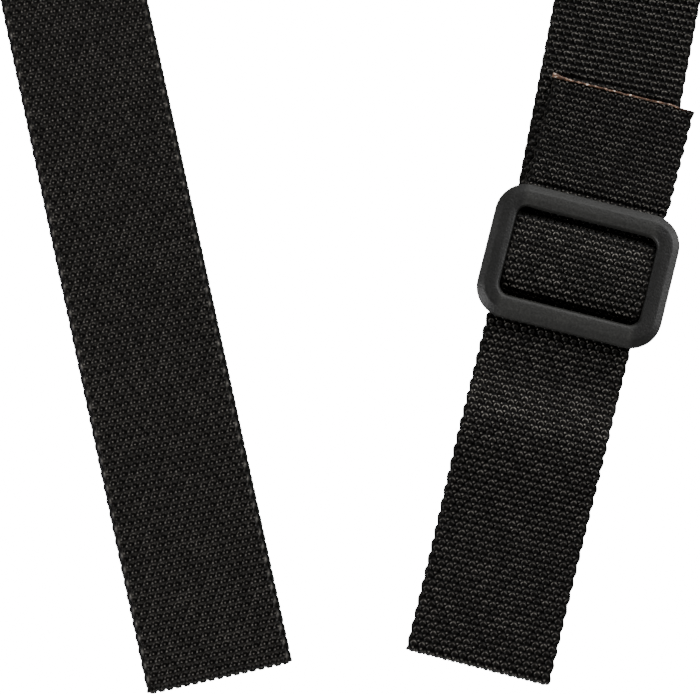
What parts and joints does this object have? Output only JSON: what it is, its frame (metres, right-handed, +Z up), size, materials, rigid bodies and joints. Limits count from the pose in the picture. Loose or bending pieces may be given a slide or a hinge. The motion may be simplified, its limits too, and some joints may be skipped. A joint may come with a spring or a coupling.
{
  "type": "guitar strap",
  "caption": "Adjustable shoulder strap of wide woven webbing with a three-bar slider and leather ends with button holes, laid down folded in a flat hank.",
  "frame": {"origin": "middle of the folded strap's footprint, on the surface that it lies on", "axes": "+X across the hank, +Y along it from the bottom folds to the crossing, +Z up off the surface"},
  "size_m": [0.3116, 0.4378, 0.0119],
  "materials": {
    "main_webbing": "black woven synthetic webbing, matt with fine light flecks",
    "short_webbing": "black woven synthetic webbing with a slight sheen",
    "sealed_edge": "melted and browned webbing fibres",
    "slider_plastic": "charcoal moulded plastic, finely textured",
    "end_leather": "black grained leather with painted edges",
    "thread": "black waxed thread"
  },
  "bodies": {
    "strap": {"main_webbing_left_front": "main_webbing", "main_webbing_left_fold": "main_webbing", "main_webbing_left_back": "main_webbing", "main_webbing_top_left_fold": "main_webbing", "main_webbing_crossing": "main_webbing", "main_webbing_top_right_fold": "main_webbing", "main_webbing_right_back": "main_webbing", "main_webbing_right_fold": "main_webbing", "main_webbing_right_front": "main_webbing", "main_webbing_tail": "main_webbing", "tail_sealed_edge": "sealed_edge", "end_tab_1_front_leather": "end_leather", "end_tab_1_back_leather": "end_leather", "end_tab_1_stitching": "thread"},
    "adjuster": {"main_webbing_in_slider": "main_webbing", "short_webbing": "short_webbing", "short_webbing_bar_loop": "short_webbing", "bar_loop_stitching": "thread", "slider": "slider_plastic", "end_tab_2_front_leather": "end_leather", "end_tab_2_back_leather": "end_leather", "end_tab_2_stitching": "thread"}
  },
  "joints": [
    {"name": "slider_travel", "type": "slide", "parent": "strap", "child": "adjuster", "axis": [0.2453, 0.9694, 0], "range_m": [-0.025, 0.02], "deforming": ["main_webbing_right_front", "main_webbing_tail"]}
  ]
}
